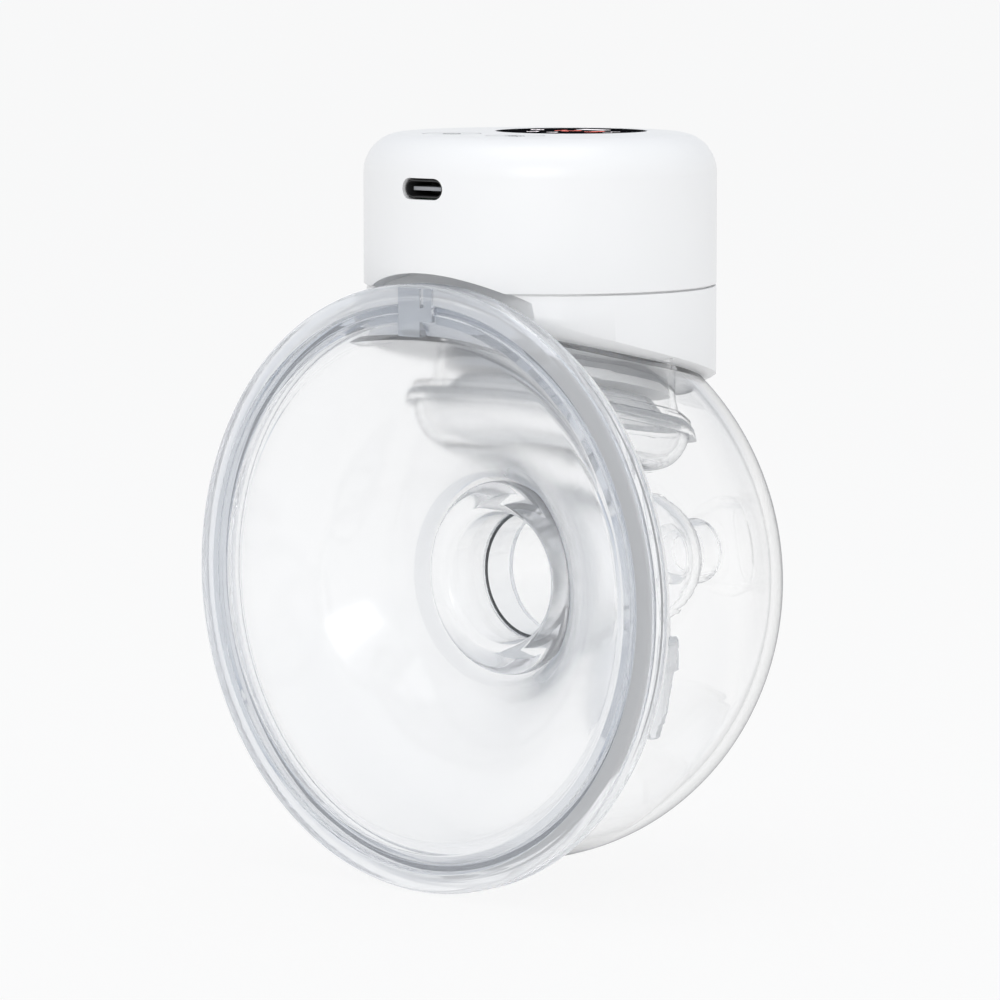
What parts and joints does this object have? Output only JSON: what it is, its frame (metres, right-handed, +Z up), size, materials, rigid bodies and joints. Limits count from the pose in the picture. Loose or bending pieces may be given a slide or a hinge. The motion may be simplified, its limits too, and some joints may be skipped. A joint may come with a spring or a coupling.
{
  "type": "breast pump",
  "caption": "Wearable breast pump: soft breast shield on a clear milk collector, with connector, valve and diaphragm inside and a round motor unit on top.",
  "frame": {"origin": "centre of the mouth of the shield's tunnel, on the tunnel's axis", "axes": "+Z up, -Y towards the wearer, +X to the wearer's-side right; X = 0 is the symmetry plane"},
  "size_m": [0.109, 0.0806, 0.1349],
  "materials": {
    "clear_silicone": "soft satin",
    "clear_plastic": "clear polished",
    "connector_plastic": "clear polished",
    "milky_silicone": "soft satin",
    "valve_silicone": "soft satin",
    "housing_white": "satin moulded",
    "window_black": "gloss",
    "module_black": "matte",
    "switch_black": "matte",
    "board_green": "solder mask",
    "chip_black": "matte",
    "screw_steel": "plated",
    "socket_steel": "satin",
    "tongue_black": "matte",
    "battery_foil": "foil",
    "foam_grey": "foam",
    "frame_grey": "moulded",
    "can_steel": "satin",
    "cap_black": "matte",
    "head_grey": "moulded",
    "crank_white": "moulded",
    "damper_rubber": "rubber",
    "rotor_copper": "wound wire",
    "tube_silicone": "soft",
    "seal_grey": "soft",
    "button_white": "satin moulded",
    "plunger_steel": "satin"
  },
  "bodies": {
    "breast_shield": {"breast_shield": "clear_silicone"},
    "collector": {"milk_collector": "clear_plastic"},
    "connector": {"connector": "connector_plastic"},
    "diaphragm": {"diaphragm": "milky_silicone"},
    "duckbill_valve": {"duckbill_valve": "valve_silicone"},
    "motor_unit": {"upper_housing": "housing_white", "lower_housing": "housing_white", "display_window": "window_black", "display_module": "module_black", "button_switches": "switch_black", "circuit_board": "board_green", "board_chips": "chip_black", "board_screws": "screw_steel", "usb_c_socket": "socket_steel", "usb_c_tongue": "tongue_black", "battery": "battery_foil", "battery_pad": "foam_grey", "pump_cradle": "frame_grey", "motor_can": "can_steel", "motor_end_cap": "cap_black", "pump_head": "head_grey", "pump_head_cover": "crank_white", "pump_dampers": "damper_rubber", "valve_coil": "rotor_copper", "valve_frame": "can_steel", "air_manifold": "crank_white", "air_tube": "tube_silicone", "seal_ring": "seal_grey", "housing_screws": "screw_steel"},
    "power_button": {"power_button": "button_white"},
    "mode_button": {"mode_button": "button_white"},
    "pump_crank": {"motor_rotor": "rotor_copper", "pump_eccentric": "crank_white"},
    "valve_plunger": {"valve_plunger": "plunger_steel"}
  },
  "joints": [
    {"name": "collector_pull", "type": "slide", "parent": "breast_shield", "child": "collector", "axis": [0, 1, 0], "range_m": [0, 0.13]},
    {"name": "connector_pull", "type": "slide", "parent": "breast_shield", "child": "connector", "axis": [0, 1, 0], "range_m": [0, 0.0455]},
    {"name": "diaphragm_drop", "type": "slide", "parent": "collector", "child": "diaphragm", "axis": [0, -0.225, -0.9744], "range_m": [0, 0.0156]},
    {"name": "valve_pull", "type": "slide", "parent": "connector", "child": "duckbill_valve", "axis": [0, 0, -1], "range_m": [0, 0.0156]},
    {"name": "motor_lift", "type": "slide", "parent": "collector", "child": "motor_unit", "axis": [0, 0.225, 0.9744], "range_m": [0, 0.045]},
    {"name": "power_press", "type": "slide", "parent": "motor_unit", "child": "power_button", "axis": [0, 0, -1], "range_m": [0, 0.0006], "stiffness_N_per_m": 400},
    {"name": "mode_press", "type": "slide", "parent": "motor_unit", "child": "mode_button", "axis": [0, 0, -1], "range_m": [0, 0.0006], "stiffness_N_per_m": 400},
    {"name": "crank_spin", "type": "hinge", "parent": "motor_unit", "child": "pump_crank", "pos_m": [0, 0.022, 0.056], "axis": [1, 0, 0], "continuous": true},
    {"name": "plunger_slide", "type": "slide", "parent": "motor_unit", "child": "valve_plunger", "axis": [-1, 0, 0], "range_m": [0, 0.0015], "stiffness_N_per_m": 60}
  ],
  "couplings": [
    {"joint": "connector_pull", "follows": "collector_pull", "ratio": 0.35},
    {"joint": "diaphragm_drop", "follows": "collector_pull", "ratio": 0.12},
    {"joint": "valve_pull", "follows": "collector_pull", "ratio": 0.12}
  ]
}
